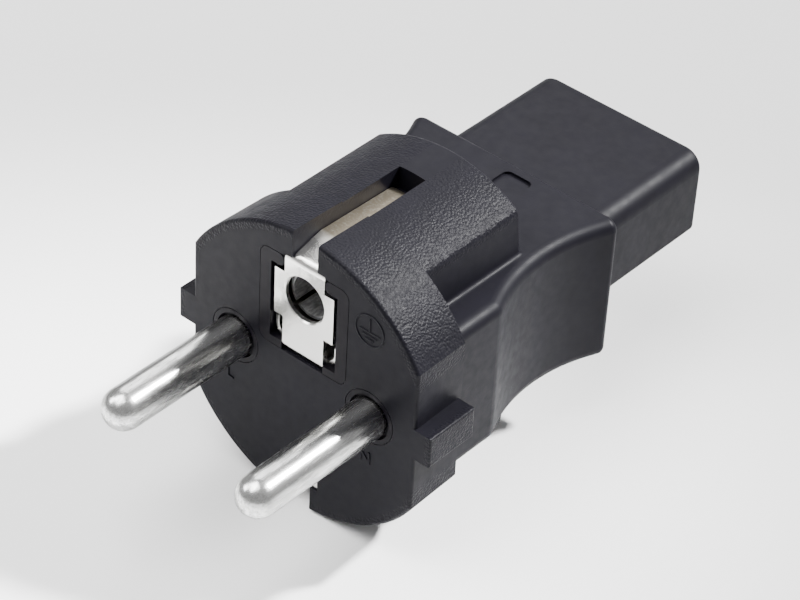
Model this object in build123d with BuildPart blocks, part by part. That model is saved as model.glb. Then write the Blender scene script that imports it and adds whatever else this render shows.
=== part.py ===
from build123d import *

import os
from math import radians, sqrt, tan

# A rigid mains adapter: an earthed plug with two round pins at the front, an appliance
# connector nose at the rear. Sizes are in millimetres. The origin is on the plug's face,
# halfway between the pins: X runs through both pins, Y to the rear, Z to the earth hole.

# Pins
pin_pitch = 19.0
pin_diameter = 4.8
pin_reach = 19.0
pin_shank_diameter = 4.0
pin_groove_depth = 0.5
pin_groove_width = 1.6
pin_groove_start = 4.8

# Plug front: a round ring with a flat and a guide rib on each side
plug_diameter = 36.3
plug_width = 31.45
ring_depth = 7.5
ring_draft = 1.5
face_edge = 0.4
rib_height = 3.86
rib_reach = 2.12
rib_depth = 7.0
rib_edge = 0.25

# Domed part behind the ring, which carries the earth grooves
dome_diameter = 35.5
dome_width = 19.0
dome_wall_draft = 6.0
dome_end = 22.6
dome_edge = 0.9
dome_rear_edge = 0.5
dome_foot_fillet = 0.6
groove_width = 3.56
groove_depth = 2.85
groove_length = 16.5

# Waisted grip
grip_width = 29.2
grip_height = 18.8
grip_end = 34.6
ear_width = 29.0
waist_width = 24.6
waist_radius = 22.0
waist_centre = 24.4
waist_crease = 2.0
grip_edge = 1.4
grip_rear_edge = 0.7
gate_width = 3.8
gate_length = 3.2
gate_depth = 0.3
gate_margin = 1.5
gate_offset = 1.7
gate_corner = 0.8

# Inner moulding behind the face
collar_diameter = 6.5
pin_recess_width = 0.3
pin_recess_depth = 0.8
bridge_front = 2.9
bridge_back = 9.0
bridge_height = 8.6
bridge_corner = 2.0
chamber_width = 12.2
chamber_bottom = 2.0
chamber_top = 14.3
chamber_wall = 1.5
chamber_floor = 1.0
chamber_depth = 17.4
chamber_back = 1.4
chamber_corner = 1.1
hook_gap = 5.7
hook_rounding = 0.7
seam_width = 0.08
seam_depth = 0.4

# Folded earth clip
sheet = 0.6
plate_set_back = 0.05
earth_hole_diameter = 5.4
earth_hole_height = 10.0
plate_width = 8.2
plate_low = 6.4
plate_high = 12.3
neck_width = 5.5
neck_top = 14.6
tongue_width = 5.7
strap_width = 4.4
lower_plate_top = 12.3
strip_width = 3.4
strip_height = 15.95
strip_rise = 0.25
ramp_end = 4.2
strip_end = 16.0
hook_depth = 1.0
fold_radius = 0.5
strip_clearance = 0.05
hole_chamfer = 0.15

# Earth cradle and socket sleeve
cradle_sheet = 0.45
cradle_width = 8.7
cradle_side = 2.5
cradle_corner = 1.3
cradle_top = 12.7
sleeve_bore = 4.9
sleeve_wall = 0.4
sleeve_gap = 0.6
slit_width = 0.5
slit_length = 9.0
sleeve_base = 2.4

# Bars between the plug and the connector, with their rivets and tabs
bar_sheet = 0.8
bar_width = 3.2
pad_reach = 2.2
rivet_diameter = 2.2
rivet_head_diameter = 3.0
rivet_head_height = 0.5
tab_width = 2.0
tab_reach = 0.3

# Appliance connector nose
nose_width = 23.2
nose_height = 15.2
nose_top = 7.0
nose_bevel = 4.9
nose_end = 53.8
nose_lip = 1.2
nose_top_edge = 2.3
nose_bevel_edge = 0.8
nose_rear_edge = 0.6
root_inset = 0.8
root_start = 28.4
root_wall = 1.4
slot_pitch = 14.0
slot_width = 2.5
slot_height = 4.6
slot_flare = 0.4
live_slot_rise = 2.0
earth_slot_drop = 2.0
nose_front_wall = 2.2
cavity_width = 4.1
cavity_height = 5.6
retainer_depth = 2.6

# Sprung contacts
contact_sheet = 0.45
contact_height = 4.2
contact_width = 3.35
contact_gap = 2.05
contact_mouth = 3.6
contact_flare = 3.2
contact_spring = 7.0
contact_bend = 2.0
contact_clearance = 0.8

# Values that follow from those above
pin_radius = pin_diameter / 2
plug_radius = plug_diameter / 2
dome_radius = dome_diameter / 2
groove_floor = dome_radius - groove_depth
grip_half = grip_height / 2
bridge_middle = (chamber_top + chamber_bottom) / 2
chamber_end = chamber_depth + chamber_back
cavity_floor = chamber_bottom + chamber_floor
plate_back = plate_set_back + sheet
cradle_back = chamber_depth - cradle_sheet
sleeve_radius = sleeve_bore / 2 + sleeve_wall
nose_middle = nose_top - nose_height / 2
nose_start = grip_end - nose_lip
live_height = nose_middle + live_slot_rise
earth_height = nose_middle - earth_slot_drop
cavity_start = root_start + retainer_depth
cavity_end = nose_end - nose_front_wall
pin_places = ((-pin_pitch / 2, 0), (pin_pitch / 2, 0))
rivet_radius = rivet_diameter / 2
rivet_head_radius = rivet_head_diameter / 2
contact_places = ((-slot_pitch / 2, live_height), (slot_pitch / 2, live_height), (0, earth_height))
bar_turns = (0, 0, 90)


def across(depth):
    """The plane that cuts the part at a depth behind the face, X to the right, Z up."""
    return Plane.XZ.offset(-depth)


# The ring: a slightly conical disc with two flats.
ring_shrink = ring_depth * tan(radians(ring_draft))
with BuildPart() as ring_form:
    with BuildSketch():
        with BuildLine():
            Polyline(
                (0, 0),
                (plug_radius, 0),
                (plug_radius - ring_shrink, ring_depth),
                (0, ring_depth),
                close=True,
            )
        make_face()
    revolve(axis=Axis.Y)
    with BuildSketch(across(0)):
        Rectangle(plug_width, plug_diameter)
    extrude(amount=-ring_depth, taper=ring_draft, mode=Mode.INTERSECT)
    fillet(ring_form.faces().sort_by(Axis.Y)[0].edges(), face_edge)

# The guide ribs: one bar through the ring, whose ends stand out at both flats.
with BuildPart() as rib_form:
    with BuildSketch(across(0)):
        Rectangle(plug_width + 2 * rib_reach, rib_height)
    extrude(amount=-rib_depth)
    fillet(rib_form.faces().filter_by(Axis.X).edges(), rib_edge)

# The dome: a round body between two slightly drafted side walls.
dome_slope = tan(radians(dome_wall_draft))
dome_foot = dome_width / 2 + (dome_radius - grip_half) * dome_slope
with BuildPart() as dome_form:
    with BuildSketch(across(ring_depth)):
        Circle(dome_radius)
        with BuildLine():
            Polyline(
                (0, dome_radius),
                (dome_width / 2, dome_radius),
                (dome_width / 2 + dome_radius * dome_slope, 0),
            )
            mirror(about=Plane.XZ)
            mirror(about=Plane.YZ)
        make_face(mode=Mode.INTERSECT)
    extrude(amount=ring_depth - dome_end)
    long_edges = dome_form.edges().filter_by(Axis.Y)
    fillet(long_edges.group_by(Axis.Z)[0] + long_edges.group_by(Axis.Z)[-1], dome_edge)
    fillet(dome_form.faces().sort_by(Axis.Y)[-1].edges(), dome_rear_edge)

# The grip: in plan a block with a large arc hollowed out of each side.
with BuildPart() as grip_form:
    with BuildSketch(Plane.XY.offset(-grip_half)):
        grip_start = ring_depth / 2
        with Locations((0, (grip_start + waist_centre) / 2)):
            Rectangle(grip_width, waist_centre - grip_start)
        with Locations((0, (waist_centre + grip_end) / 2)):
            Rectangle(ear_width, grip_end - waist_centre)
        arc_centre = waist_width / 2 + waist_radius
        with Locations((-arc_centre, waist_centre), (arc_centre, waist_centre)):
            Circle(waist_radius, mode=Mode.SUBTRACT)
    extrude(amount=grip_height)
    fillet(grip_form.edges().filter_by(Axis.Z).group_by(Axis.Y)[1], waist_crease)
    level_edges = grip_form.faces().filter_by(Axis.Z).edges()
    fillet(level_edges.filter_by(lambda edge: abs(edge.center().X) > waist_width / 4), grip_edge)


def turned_pin(x):
    """A plug pin: rounded tip, thinner shank with a groove in the moulding, and a riveted tail."""
    tip_centre = pin_radius - pin_reach
    shank_radius = pin_shank_diameter / 2
    groove_radius = shank_radius - pin_groove_depth
    groove_end = pin_groove_start + pin_groove_width
    tail_end = bridge_back + bar_sheet
    with BuildPart() as pin:
        with BuildSketch(Plane((x, 0, 0))):
            with BuildLine():
                CenterArc((0, tip_centre), pin_radius, -90, 90)
                Polyline(
                    (pin_radius, tip_centre),
                    (pin_radius, 0),
                    (shank_radius, 0),
                    (shank_radius, pin_groove_start),
                    (groove_radius, pin_groove_start),
                    (groove_radius, groove_end),
                    (shank_radius, groove_end),
                    (shank_radius, bridge_back),
                    (rivet_radius, bridge_back),
                    (rivet_radius, tail_end),
                    (rivet_head_radius, tail_end),
                    (rivet_head_radius, tail_end + rivet_head_height),
                    (0, tail_end + rivet_head_height),
                    (0, -pin_reach),
                )
            make_face()
        revolve(axis=Axis((x, 0, 0), (0, 1, 0)))
    return pin


line_pin = turned_pin(-pin_pitch / 2)
neutral_pin = turned_pin(pin_pitch / 2)

# The earth clip: one strip of sheet, folded along its side profile and cut to its front outline.
strip_front = strip_height - sheet / 2
strip_rear = strip_front - strip_rise
strip_tail = strip_end - sheet / 2
plate_line = plate_set_back + sheet / 2
strap_line = bridge_front - sheet / 2
tongue_fold = chamber_bottom + sheet / 2
lower_fold = sheet / 2 - lower_plate_top
clip_outline = (
    (strip_height, neck_top, strip_width),
    (neck_top, plate_high, neck_width),
    (plate_high, plate_low, plate_width),
    (plate_low, chamber_bottom, tongue_width),
    (chamber_bottom, lower_fold, strap_width),
    (lower_fold, -neck_top, neck_width),
    (-neck_top, -strip_height, strip_width),
)
with BuildPart() as earth_clip:
    with BuildSketch(Plane.YZ):
        with BuildLine():
            FilletPolyline(
                (strip_tail, strip_rear - hook_depth),
                (strip_tail, strip_rear),
                (ramp_end, strip_front),
                (plate_line, neck_top),
                (plate_line, tongue_fold),
                (strap_line, tongue_fold),
                (strap_line, -lower_plate_top),
                (plate_line, -lower_plate_top),
                (plate_line, -neck_top),
                (ramp_end, -strip_front),
                (strip_tail, -strip_rear),
                (strip_tail, hook_depth - strip_rear),
                radius=fold_radius + sheet / 2,
            )
        trace(line_width=sheet)
    extrude(amount=plate_width, both=True)
    with BuildSketch(across(0)):
        for upper, lower, width in clip_outline:
            with Locations((0, (upper + lower) / 2)):
                Rectangle(width, upper - lower)
    extrude(amount=-strip_end, mode=Mode.INTERSECT)
    with BuildSketch(across(0)):
        with Locations((0, earth_hole_height)):
            Circle(earth_hole_diameter / 2)
    extrude(amount=-plate_back, mode=Mode.SUBTRACT)
    hole_edges = earth_clip.edges().filter_by(GeomType.CIRCLE).filter_by(
        lambda edge: abs(edge.radius - earth_hole_diameter / 2) < 0.001
    )
    chamfer(hole_edges.sort_by(Axis.Y)[0], hole_chamfer)

# The inner moulding: first its envelope, which the overmould flows round.
with BuildPart() as bridge_form:
    with BuildSketch(across(bridge_front)):
        RectangleRounded(pin_pitch + bridge_height, bridge_height, bridge_corner)
    extrude(amount=bridge_front - bridge_back)
    with BuildSketch(across(0)):
        with Locations(*pin_places):
            Circle(collar_diameter / 2)
    extrude(amount=-bridge_back)
    with BuildSketch(across(0)):
        with Locations((0, bridge_middle)):
            RectangleRounded(chamber_width, chamber_top - chamber_bottom, chamber_corner)
    extrude(amount=-chamber_end)

# Then its earth chamber, the slot between the two hooks of the rim, and the holes for the pins.
chamber_half = chamber_width / 2 - chamber_wall
hook_floor = chamber_top - chamber_wall
with BuildPart() as pin_bridge:
    add(bridge_form.part)
    with BuildSketch(across(0)):
        with BuildLine():
            Polyline(
                (0, cavity_floor),
                (chamber_half, cavity_floor),
                (chamber_half, hook_floor),
                (hook_gap / 2, hook_floor),
                (hook_gap / 2, chamber_top),
                (0, chamber_top),
            )
            mirror(about=Plane.YZ)
        make_face()
    extrude(amount=-chamber_depth, mode=Mode.SUBTRACT)
    with BuildSketch(across(0)):
        with Locations((0, chamber_bottom + chamber_floor / 2)):
            Rectangle(tongue_width + 2 * strip_clearance, chamber_floor)
    extrude(amount=-bridge_front, mode=Mode.SUBTRACT)
    with BuildSketch(across(0)):
        with Locations(*pin_places):
            Circle(pin_radius + pin_recess_width)
    extrude(amount=-pin_recess_depth, mode=Mode.SUBTRACT)
    with BuildSketch(across(chamber_depth)):
        with Locations((0, earth_hole_height)):
            Circle(rivet_radius)
    extrude(amount=-chamber_back, mode=Mode.SUBTRACT)
    add(line_pin.part, mode=Mode.SUBTRACT)
    add(neutral_pin.part, mode=Mode.SUBTRACT)
    hook_edges = pin_bridge.edges().filter_by(Axis.Y).filter_by(
        lambda edge: abs(edge.center().X) < hook_gap / 2 + seam_width and edge.center().Z > plate_high
    )
    fillet(hook_edges, hook_rounding)

# The earth cradle: a bent trough with a rear wall that carries the sleeve.
cradle_half = (cradle_width - cradle_sheet) / 2
cradle_line = cavity_floor + cradle_sheet / 2
cradle_front = plate_back + strip_clearance
with BuildPart() as earth_cradle:
    with BuildSketch(across(cradle_front)):
        with BuildLine():
            FilletPolyline(
                (-cradle_half, cavity_floor + cradle_side),
                (-cradle_half, cradle_line),
                (cradle_half, cradle_line),
                (cradle_half, cavity_floor + cradle_side),
                radius=cradle_corner,
            )
        trace(line_width=cradle_sheet)
    extrude(amount=cradle_front - chamber_depth)
    with BuildSketch(across(cradle_back)):
        with Locations((0, (cradle_top + cradle_line) / 2)):
            Rectangle(cradle_width - 2 * cradle_corner, cradle_top - cradle_line)
        with Locations((0, earth_hole_height)):
            Circle(rivet_radius, mode=Mode.SUBTRACT)
    extrude(amount=-cradle_sheet)

# The socket sleeve: turned and drilled, slit from the front into four springy leaves, riveted behind.
sleeve_front = plate_back + sleeve_gap
sleeve_tail = chamber_end + bar_sheet
with BuildPart() as earth_socket:
    with BuildSketch(Plane((0, 0, earth_hole_height))):
        with BuildLine():
            Polyline(
                (sleeve_bore / 2, sleeve_front),
                (sleeve_radius, sleeve_front),
                (sleeve_radius, cradle_back),
                (rivet_radius, cradle_back),
                (rivet_radius, sleeve_tail),
                (rivet_head_radius, sleeve_tail),
                (rivet_head_radius, sleeve_tail + rivet_head_height),
                (0, sleeve_tail + rivet_head_height),
                (0, cradle_back - sleeve_base),
                (sleeve_bore / 2, cradle_back - sleeve_base),
                close=True,
            )
        make_face()
    revolve(axis=Axis((0, 0, earth_hole_height), (0, 1, 0)))
    with BuildSketch(across(sleeve_front)):
        with Locations((0, earth_hole_height)):
            Rectangle(2 * sleeve_radius, slit_width, rotation=45)
            Rectangle(2 * sleeve_radius, slit_width, rotation=-45)
    extrude(amount=-slit_length, mode=Mode.SUBTRACT)


def nose_outline(inset):
    """The nose seen from behind, drawn inwards by an inset: two lower corners are bevelled."""
    half = nose_width / 2 - inset
    top = nose_top - inset
    bottom = nose_top - nose_height + inset
    bevel = nose_bevel - inset * (2 - sqrt(2))
    with BuildSketch() as outline:
        with BuildLine():
            Polyline((0, top), (half, top), (half, bottom + bevel), (half - bevel, bottom), (0, bottom))
            mirror(about=Plane.YZ)
        make_face()
        fillet(outline.vertices().group_by(Axis.Y)[-1], nose_top_edge - inset)
        fillet(outline.vertices().group_by(Axis.Y)[:2], nose_bevel_edge)
    return outline.sketch


# The connector nose: a narrower root inside the overmould, three cavities and three slots.
with BuildPart() as nose_insert:
    with BuildSketch(across(nose_start)):
        add(nose_outline(0))
    extrude(amount=nose_start - nose_end)
    fillet(nose_insert.faces().sort_by(Axis.Y)[-1].edges(), nose_rear_edge)
    with BuildSketch(across(root_start)):
        add(nose_outline(root_inset))
    extrude(amount=root_start - nose_start)
    with BuildSketch(across(root_start)):
        add(nose_outline(root_inset + root_wall))
    extrude(amount=-retainer_depth, mode=Mode.SUBTRACT)
    with BuildSketch(across(cavity_start)):
        with Locations(*contact_places):
            Rectangle(cavity_width, cavity_height)
    extrude(amount=cavity_start - cavity_end, mode=Mode.SUBTRACT)
    with BuildSketch(across(cavity_end)):
        with Locations(*contact_places):
            Rectangle(slot_width, slot_height)
    extrude(amount=-nose_front_wall, mode=Mode.SUBTRACT)
    chamfer(nose_insert.faces().sort_by(Axis.Y)[-1].inner_wires().edges(), slot_flare)

# The contact retainer: it closes the nose from behind, with a slot for each bar.
with BuildPart() as contact_retainer:
    with BuildSketch(across(root_start)):
        add(nose_outline(root_inset + root_wall))
        for place, turn in zip(contact_places, bar_turns):
            with Locations(place):
                Rectangle(bar_sheet, bar_width, rotation=turn, mode=Mode.SUBTRACT)
    extrude(amount=-retainer_depth)


def sprung_contact(place, turn):
    """A cross plate that lies on the retainer, and two leaves that pinch a flat pin."""
    x, z = place
    base_line = (contact_width - contact_sheet) / 2
    pinch_line = (contact_gap + contact_sheet) / 2
    mouth_line = (contact_mouth - contact_sheet) / 2
    mouth_end = cavity_end - contact_clearance
    pinch_end = mouth_end - contact_flare
    with BuildPart() as contact:
        with BuildSketch(across(cavity_start)):
            with Locations(place):
                Rectangle(contact_width, contact_height)
                Rectangle(bar_sheet, tab_width, rotation=turn, mode=Mode.SUBTRACT)
        extrude(amount=-contact_sheet)
        with BuildSketch(Plane.XY.offset(z)):
            for side in (1, -1):
                with BuildLine():
                    FilletPolyline(
                        (x + side * base_line, cavity_start),
                        (x + side * base_line, pinch_end - contact_spring),
                        (x + side * pinch_line, pinch_end),
                        (x + side * mouth_line, mouth_end),
                        radius=contact_bend,
                    )
                trace(line_width=contact_sheet)
        extrude(amount=contact_height / 2, both=True)
    return contact


line_contact, neutral_contact, earth_contact = [
    sprung_contact(place, turn) for place, turn in zip(contact_places, bar_turns)
]
bar_bend = fold_radius + bar_sheet / 2
tab_length = contact_sheet + tab_reach


def live_bar(place):
    """A flat bar, riveted to a pin and folded to the rear, with a tab staked in its contact."""
    x, z = place
    side = 1 if x > 0 else -1
    pad_line = bridge_back + bar_sheet / 2
    pad_start = side * x + bar_bend
    pad_end = pin_pitch / 2 + pad_reach
    with BuildPart() as bar:
        with BuildSketch(Plane.XY.offset(z)):
            with BuildLine():
                FilletPolyline(
                    (side * pad_end, pad_line),
                    (x, pad_line),
                    (x, cavity_start),
                    radius=bar_bend,
                )
            trace(line_width=bar_sheet)
        extrude(amount=bar_width / 2, both=True)
        with BuildSketch(across(bridge_back)):
            with Locations((side * (pad_start + pad_end) / 2, 0)):
                Rectangle(pad_end - pad_start, 2 * pad_reach)
        extrude(amount=-bar_sheet)
        with BuildSketch(across(bridge_back)):
            with Locations((side * pin_pitch / 2, 0)):
                Circle(rivet_radius)
        extrude(amount=-bar_sheet, mode=Mode.SUBTRACT)
        with BuildSketch(across(cavity_start)):
            with Locations(place):
                Rectangle(bar_sheet, tab_width)
        extrude(amount=-tab_length)
    return bar


line_bar = live_bar(contact_places[0])
neutral_bar = live_bar(contact_places[1])

# The earth bar drops behind the chamber to the lowest contact.
earth_pad_line = chamber_end + bar_sheet / 2
with BuildPart() as earth_bar:
    with BuildSketch(Plane.YZ):
        with BuildLine():
            FilletPolyline(
                (earth_pad_line, earth_hole_height + pad_reach),
                (earth_pad_line, earth_height),
                (cavity_start, earth_height),
                radius=bar_bend,
            )
        trace(line_width=bar_sheet)
    extrude(amount=bar_width / 2, both=True)
    with BuildSketch(across(chamber_end)):
        with Locations((0, earth_hole_height)):
            Circle(rivet_radius)
    extrude(amount=-bar_sheet, mode=Mode.SUBTRACT)
    with BuildSketch(across(cavity_start)):
        with Locations((0, earth_height)):
            Rectangle(tab_width, bar_sheet)
    extrude(amount=-tab_length)

# The overmould: ring, ribs, dome and grip in one body, which closes round everything it holds.
with BuildPart() as grip_housing:
    add(ring_form.part)
    add(rib_form.part)
    add(dome_form.part)
    add(grip_form.part)
    foot_edges = grip_housing.edges().filter_by(
        lambda edge: abs(abs(edge.center().Z) - grip_half) < 0.001
        and abs(edge.center().X) < dome_foot + 0.001
        and ring_depth < edge.center().Y < dome_end + 0.001
    )
    fillet(foot_edges, dome_foot_fillet)
    fillet(grip_housing.faces().sort_by(Axis.Y)[-1].edges(), grip_rear_edge)
    with BuildSketch(Plane.XY.offset(grip_half)):
        with Locations((gate_offset, grip_end - gate_margin - gate_length / 2)):
            RectangleRounded(gate_width, gate_length, gate_corner)
    extrude(amount=-gate_depth, mode=Mode.SUBTRACT)
    groove_reach = plug_radius - groove_floor
    for side in (1, -1):
        with BuildSketch(across(0)):
            with Locations((0, side * (groove_floor + groove_reach / 2))):
                Rectangle(groove_width, groove_reach)
        extrude(amount=-groove_length, mode=Mode.SUBTRACT)
    with BuildSketch(across(0)):
        for inner_end in (chamber_top, lower_fold):
            outer_end = neck_top + strip_clearance if inner_end > 0 else -neck_top - strip_clearance
            with Locations((0, (inner_end + outer_end) / 2)):
                Rectangle(neck_width + 2 * strip_clearance, abs(outer_end - inner_end))
            groove_end = groove_floor if inner_end > 0 else -groove_floor
            with Locations((0, (inner_end + groove_end) / 2)):
                Rectangle(groove_width, abs(groove_end - inner_end))
    extrude(amount=-plate_back, mode=Mode.SUBTRACT)
    with BuildSketch(across(0)):
        with Locations(*pin_places):
            Circle(collar_diameter / 2 + seam_width)
        with Locations((0, bridge_middle)):
            RectangleRounded(
                chamber_width + 2 * seam_width,
                chamber_top - chamber_bottom + 2 * seam_width,
                chamber_corner + seam_width,
            )
    extrude(amount=-seam_depth, mode=Mode.SUBTRACT)
    with BuildSketch(across(root_start)):
        add(nose_outline(root_inset))
    extrude(amount=root_start - nose_start, mode=Mode.SUBTRACT)
    with BuildSketch(across(nose_start)):
        add(nose_outline(0))
    extrude(amount=nose_start - grip_end, mode=Mode.SUBTRACT)
    add(bridge_form.part, mode=Mode.SUBTRACT)
    held_pieces = (line_pin, neutral_pin, earth_clip, earth_socket, line_bar, neutral_bar, earth_bar)
    add([held.part for held in held_pieces], mode=Mode.SUBTRACT)

pieces = {
    "grip_housing": grip_housing,
    "pin_bridge": pin_bridge,
    "line_pin": line_pin,
    "neutral_pin": neutral_pin,
    "earth_clip": earth_clip,
    "earth_cradle": earth_cradle,
    "earth_socket": earth_socket,
    "nose_insert": nose_insert,
    "contact_retainer": contact_retainer,
    "line_contact": line_contact,
    "neutral_contact": neutral_contact,
    "earth_contact": earth_contact,
    "line_bar": line_bar,
    "neutral_bar": neutral_bar,
    "earth_bar": earth_bar,
}
os.makedirs("parts", exist_ok=True)
for name, piece in pieces.items():
    piece.part.label = name
    export_step(piece.part, f"parts/{name}.step")
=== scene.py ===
import math

import bpy
from mathutils import Matrix, Vector


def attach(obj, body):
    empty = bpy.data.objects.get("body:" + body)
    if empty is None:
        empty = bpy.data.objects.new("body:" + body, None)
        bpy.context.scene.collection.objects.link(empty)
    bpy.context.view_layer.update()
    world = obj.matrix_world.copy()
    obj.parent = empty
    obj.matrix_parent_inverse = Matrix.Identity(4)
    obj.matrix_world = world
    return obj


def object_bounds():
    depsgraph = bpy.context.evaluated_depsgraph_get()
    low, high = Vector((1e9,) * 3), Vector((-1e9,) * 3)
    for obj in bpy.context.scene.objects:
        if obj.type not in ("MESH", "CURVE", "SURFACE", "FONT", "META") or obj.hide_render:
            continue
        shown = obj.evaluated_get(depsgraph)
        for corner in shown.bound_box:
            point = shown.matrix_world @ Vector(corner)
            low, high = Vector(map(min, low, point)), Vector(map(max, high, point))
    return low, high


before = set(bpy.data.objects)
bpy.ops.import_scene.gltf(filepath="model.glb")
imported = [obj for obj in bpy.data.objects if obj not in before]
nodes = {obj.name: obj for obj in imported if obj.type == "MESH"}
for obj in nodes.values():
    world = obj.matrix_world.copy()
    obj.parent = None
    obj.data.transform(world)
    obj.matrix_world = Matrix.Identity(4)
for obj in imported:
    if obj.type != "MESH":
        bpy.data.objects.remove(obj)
cad_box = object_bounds()
scene = bpy.context.scene
MM = 0.001


# The camera: the photograph's viewing angle, with a long lens.

camera_right = Vector((0.75064, 0.65912, 0.04583))
camera_up = Vector((-0.43932, 0.44609, 0.77975))
camera_back = Vector((0.49351, -0.60544, 0.62442))
camera_place = Vector((159.38, -179.89, 202.85)) * MM

camera_data = bpy.data.cameras.new("camera")
camera_data.sensor_width = 36.0
camera_data.lens = 135.0
camera_data.clip_start = 0.01
camera = bpy.data.objects.new("camera", camera_data)
camera_turn = Matrix((camera_right, camera_up, camera_back)).transposed().to_4x4()
camera.matrix_world = Matrix.Translation(camera_place) @ camera_turn
scene.collection.objects.link(camera)
scene.camera = camera


# Floor and light: a white studio, in metres.

floor_half = 2
floor_gap = 0.00005
floor_white = 0.95
sky_strength = 0.42
object_middle = (0, 0.015, 0)
dome_top = (0.003, 0.013, 0.015)


def floor(z):
    mesh = bpy.data.meshes.new("floor")
    corners = [(x * floor_half, y * floor_half, z) for x, y in ((-1, -1), (1, -1), (1, 1), (-1, 1))]
    mesh.from_pydata(corners, [], [(0, 1, 2, 3)])
    obj = bpy.data.objects.new("floor", mesh)
    scene.collection.objects.link(obj)
    mat = bpy.data.materials.new("floor")
    mat.use_nodes = True
    bsdf = mat.node_tree.nodes["Principled BSDF"]
    bsdf.inputs["Base Color"].default_value = (floor_white, floor_white, floor_white, 1)
    bsdf.inputs["Roughness"].default_value = 0.9
    bsdf.inputs["Specular IOR Level"].default_value = 0.1
    mesh.materials.append(mat)


def aimed_light(data, place, aim):
    obj = bpy.data.objects.new(data.name, data)
    obj.location = place
    obj.rotation_euler = (Vector(aim) - Vector(place)).to_track_quat("-Z", "Y").to_euler()
    scene.collection.objects.link(obj)


def softbox(name, place, side, energy, spread=180):
    """A square panel of light, aimed at the middle of the object."""
    data = bpy.data.lights.new(name, "AREA")
    data.shape = "RECTANGLE"
    data.size = side
    data.size_y = side
    data.energy = energy
    data.spread = math.radians(spread)
    aimed_light(data, place, object_middle)


def beam(name, place, aim, radius, energy, angle):
    """A narrow round light that fades to its edge, for one sheen alone."""
    data = bpy.data.lights.new(name, "SPOT")
    data.energy = energy
    data.shadow_soft_size = radius
    data.spot_size = math.radians(angle)
    data.spot_blend = 1.0
    aimed_light(data, place, aim)


floor(cad_box[0][2] - floor_gap)
softbox("top", (-0.16, -0.22, 0.76), side=0.6, energy=12.5)
softbox("back_left", (-0.40, 0.50, 0.50), side=0.5, energy=3.3)
softbox("front_left", (-0.50, -0.35, 0.45), side=0.3, energy=0.6, spread=90)
beam("sheen", (0.262, 0.414, 0.465), dome_top, radius=0.05, energy=300, angle=6.6)

world = bpy.data.worlds.new("studio")
world.use_nodes = True
background = world.node_tree.nodes["Background"]
background.inputs["Color"].default_value = (1, 1, 1, 1)
background.inputs["Strength"].default_value = sky_strength
scene.world = world


# Materials, all procedural, with their textures in millimetres of the row frame.

# The pebble grain fades in at this distance from the plug's axis, and from its upright middle plane.
grain_radius = (16.9, 17.2)
grain_side = (1.75, 1.85)

# The earth sheet's colour is darkened by painted shade and a warm painted reflection between these
# distances behind the face, deep in the groove; its roughness also rises there.
groove_shade_depth = (2.6, 4.6)


class Surface:
    """A material whose texture coordinates are millimetres in the row frame."""

    def __init__(self, name, color, roughness, metallic=0.0):
        self.mat = bpy.data.materials.new(name)
        self.mat.use_nodes = True
        self.tree = self.mat.node_tree
        self.bsdf = self.tree.nodes["Principled BSDF"]
        self.bsdf.inputs["Base Color"].default_value = (*color, 1)
        self.bsdf.inputs["Roughness"].default_value = roughness
        self.bsdf.inputs["Metallic"].default_value = metallic
        self.normal = None

    def node(self, kind, **values):
        node = self.tree.nodes.new(kind)
        for key, value in values.items():
            setattr(node, key, value)
        return node

    def link(self, source, target):
        self.tree.links.new(source, target)

    def millimetres(self, stretch=(1, 1, 1)):
        coordinates = self.node("ShaderNodeTexCoord")
        scale = self.node("ShaderNodeMapping")
        scale.inputs["Scale"].default_value = [s / MM for s in stretch]
        self.link(coordinates.outputs["Object"], scale.inputs["Vector"])
        return scale.outputs["Vector"]

    def noise(self, scale, detail=2.0, rough=0.5, stretch=(1, 1, 1)):
        tex = self.node("ShaderNodeTexNoise")
        tex.inputs["Scale"].default_value = scale
        tex.inputs["Detail"].default_value = detail
        tex.inputs["Roughness"].default_value = rough
        self.link(self.millimetres(stretch), tex.inputs["Vector"])
        return tex.outputs["Fac"]

    def cells(self, scale, smooth):
        tex = self.node("ShaderNodeTexVoronoi", feature="SMOOTH_F1")
        tex.inputs["Scale"].default_value = scale
        tex.inputs["Smoothness"].default_value = smooth
        self.link(self.millimetres(), tex.inputs["Vector"])
        return tex.outputs["Distance"]

    def distance(self, along):
        """Millimetres from the frame's origin, measured along the given axes only."""
        node = self.node("ShaderNodeVectorMath", operation="LENGTH")
        self.link(self.millimetres(along), node.inputs[0])
        return node.outputs["Value"]

    def remap(self, source, span, result=(0, 1)):
        node = self.node("ShaderNodeMapRange")
        node.inputs["From Min"].default_value = span[0]
        node.inputs["From Max"].default_value = span[1]
        node.inputs["To Min"].default_value = result[0]
        node.inputs["To Max"].default_value = result[1]
        self.link(source, node.inputs["Value"])
        return node.outputs["Result"]

    def both(self, first, second):
        node = self.node("ShaderNodeMath", operation="MULTIPLY")
        self.link(first, node.inputs[0])
        self.link(second, node.inputs[1])
        return node.outputs["Value"]

    def bump(self, source, depth_mm, invert=False, masked_by=None):
        """Relief of a depth in millimetres, over the relief that is there already."""
        node = self.node("ShaderNodeBump", invert=invert)
        node.inputs["Strength"].default_value = 1.0
        if masked_by is not None:
            self.link(masked_by, node.inputs["Strength"])
        node.inputs["Distance"].default_value = depth_mm * MM
        self.link(source, node.inputs["Height"])
        if self.normal is not None:
            self.link(self.normal, node.inputs["Normal"])
        self.normal = node.outputs["Normal"]
        self.link(self.normal, self.bsdf.inputs["Normal"])

    def vary_roughness(self, source):
        self.link(source, self.bsdf.inputs["Roughness"])

    def blend_color(self, source, first, second):
        mix = self.node("ShaderNodeMix", data_type="RGBA")
        mix.inputs["A"].default_value = (*first, 1)
        mix.inputs["B"].default_value = (*second, 1)
        self.link(source, mix.inputs["Factor"])
        self.link(mix.outputs["Result"], self.bsdf.inputs["Base Color"])


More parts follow.
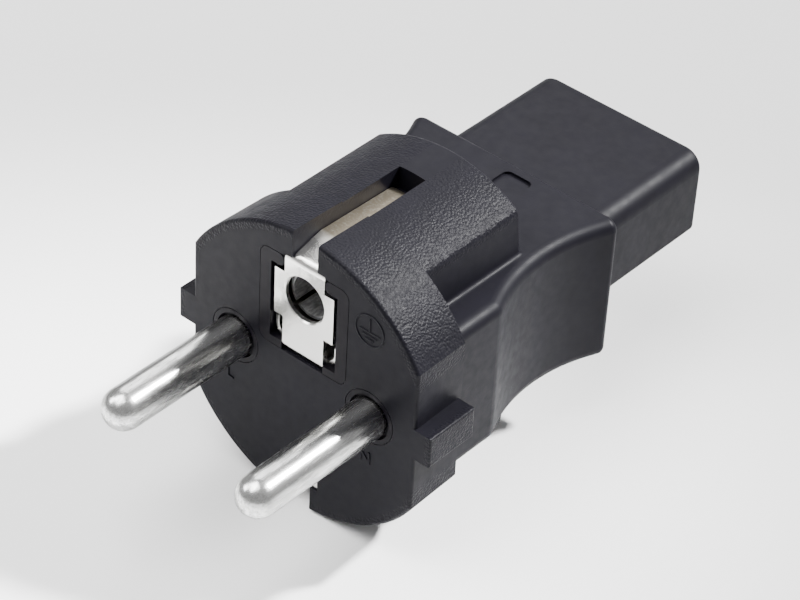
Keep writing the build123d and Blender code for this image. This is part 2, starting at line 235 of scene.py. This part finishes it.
def moulded(name, color, roughness, fine, pebble=0.0):
    """Black plastic: a fine matte skin, with pebble grain on the plug's round surfaces alone."""
    surface = Surface(name, color, roughness)
    surface.bsdf.inputs["Specular IOR Level"].default_value = 0.09
    surface.bump(surface.noise(scale=4.0, detail=4.0, rough=0.65), fine)
    if pebble:
        outside = surface.remap(surface.distance((1, 0, 1)), grain_radius)
        beside = surface.remap(surface.distance((1, 0, 0)), grain_side)
        grain = surface.cells(scale=3.6, smooth=0.3)
        surface.bump(grain, pebble, invert=True, masked_by=surface.both(outside, beside))
    dark = [c * 0.92 for c in color]
    light = [c * 1.1 for c in color]
    clouds = surface.noise(scale=0.3, detail=3.0)
    surface.blend_color(surface.remap(clouds, (0.35, 0.65)), dark, light)
    patches = surface.noise(scale=0.9, detail=3.0)
    surface.vary_roughness(surface.remap(patches, (0.3, 0.7), (roughness - 0.05, roughness + 0.05)))
    return surface.mat


def plated(name, color, roughness, stretch, depth, groove_shade=None):
    """Bare or plated metal, streaked along the stretch; given a groove shade, darker with painted shade
    and rougher away from the face.
    """
    smooth, dull = roughness
    surface = Surface(name, color, smooth, metallic=1.0)
    surface.bsdf.inputs["Specular Tint"].default_value = (0.55, 0.55, 0.55, 1)
    streaks = surface.noise(scale=3.0, detail=5.0, rough=0.7, stretch=stretch)
    if groove_shade:
        away = surface.remap(surface.distance((0, 1, 0)), groove_shade_depth)
        shade_streaks = surface.remap(streaks, (0.25, 0.5), (0.8, 1))
        # painted shade and warm reflection: the colour darkens deeper behind the face, broken up by the
        # streaks
        surface.blend_color(surface.both(away, shade_streaks), color, groove_shade)
        surface.vary_roughness(surface.remap(away, (0, 1), (smooth, dull)))
        surface.bump(surface.noise(scale=0.35, detail=1.0), 0.10)
    else:
        surface.blend_color(surface.remap(streaks, (0.42, 0.6)), [c * 0.62 for c in color], color)
        surface.vary_roughness(surface.remap(streaks, (0.3, 0.7), (dull, smooth)))
    surface.bump(surface.noise(scale=1.6, detail=3.0, rough=0.6, stretch=stretch), depth)
    return surface.mat


overmould = moulded("overmould", (0.0036, 0.0033, 0.0056), roughness=0.50, fine=0.008, pebble=0.06)
inner_moulding = moulded("inner_moulding", (0.0022, 0.0015, 0.0034), roughness=0.45, fine=0.005)
nose = moulded("nose", (0.0038, 0.0035, 0.0058), roughness=0.50, fine=0.005)
pin_metal = plated(
    "plated_pin", (0.74, 0.74, 0.73), roughness=(0.14, 0.34), stretch=(1, 0.12, 1), depth=0.005
)
# The earth sheet's second, darker colour is painted shade and reflection deep in the groove, not the
# metal's own.
sheet_metal = plated(
    "plated_sheet", (0.86, 0.85, 0.82), roughness=(0.22, 0.45), stretch=(1, 1, 1), depth=0.010,
    groove_shade=(0.17, 0.148, 0.112),
)
socket_metal = plated(
    "socket_metal", (0.80, 0.80, 0.80), roughness=(0.34, 0.46), stretch=(1, 0.3, 1), depth=0.004
)
contact_metal = plated(
    "contact_metal", (0.70, 0.60, 0.40), roughness=(0.3, 0.45), stretch=(1, 1, 1), depth=0.004
)

sharp_angle = 28
finishes = {
    "grip_housing": overmould,
    "pin_bridge": inner_moulding,
    "line_pin": pin_metal,
    "neutral_pin": pin_metal,
    "earth_clip": sheet_metal,
    "earth_cradle": sheet_metal,
    "earth_socket": socket_metal,
    "nose_insert": nose,
    "contact_retainer": inner_moulding,
    "line_contact": contact_metal,
    "neutral_contact": contact_metal,
    "earth_contact": contact_metal,
    "line_bar": contact_metal,
    "neutral_bar": contact_metal,
    "earth_bar": contact_metal,
}
for name, finish in finishes.items():
    mesh = nodes[name].data
    mesh.materials.clear()
    mesh.materials.append(finish)
    mesh.shade_smooth()
    mesh.set_sharp_from_angle(angle=math.radians(sharp_angle))


# Raised marks on the face, in millimetres.

letter_size = 2.2
letter_rise = 0.10
letter_edge = 0.03
sign_radius = 1.9
sign_line = 0.11
ring_points = 48

# The earth sign's bars: how far each lies below the middle, and its half width, as shares of the radius.
sign_bars = ((0.12, 0.72), (0.38, 0.5), (0.62, 0.3))
stem_top = 0.78


def fix_to_face(obj):
    obj.data.materials.append(overmould)
    scene.collection.objects.link(obj)
    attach(obj, "root")


def raised(name, text, x, z):
    data = bpy.data.curves.new(name, "FONT")
    data.body = text
    data.size = letter_size * MM
    data.align_x = "CENTER"
    data.align_y = "CENTER"
    data.extrude = letter_rise * MM
    data.bevel_depth = letter_edge * MM
    obj = bpy.data.objects.new(name, data)
    obj.rotation_euler = (math.radians(90), 0, 0)
    obj.location = (x * MM, 0, z * MM)
    fix_to_face(obj)


def earth_sign(x, z):
    """A ring with a stem that stands on the longest of three bars."""
    data = bpy.data.curves.new("earth_sign", "CURVE")
    data.dimensions = "3D"
    data.bevel_depth = sign_line * MM
    data.bevel_resolution = 2
    data.use_fill_caps = True
    angles = [math.tau * i / ring_points for i in range(ring_points)]
    ring = [(x + sign_radius * math.cos(a), z + sign_radius * math.sin(a)) for a in angles]
    stem_foot = sign_bars[0][0]
    stem = [(x, z + sign_radius * stem_top), (x, z - sign_radius * stem_foot)]
    lines = [(ring, True), (stem, False)]
    for drop, half in sign_bars:
        level = z - sign_radius * drop
        lines.append(([(x - sign_radius * half, level), (x + sign_radius * half, level)], False))
    for points, closed in lines:
        spline = data.splines.new("POLY")
        spline.points.add(len(points) - 1)
        for point, (point_x, point_z) in zip(spline.points, points):
            point.co = (point_x * MM, 0, point_z * MM, 1)
        spline.use_cyclic_u = closed
    fix_to_face(bpy.data.objects.new("earth_sign", data))


raised("mark_line", "L", -10.2, -5.5)
raised("mark_neutral", "N", 9.25, -5.6)
earth_sign(9.1, 11.3)
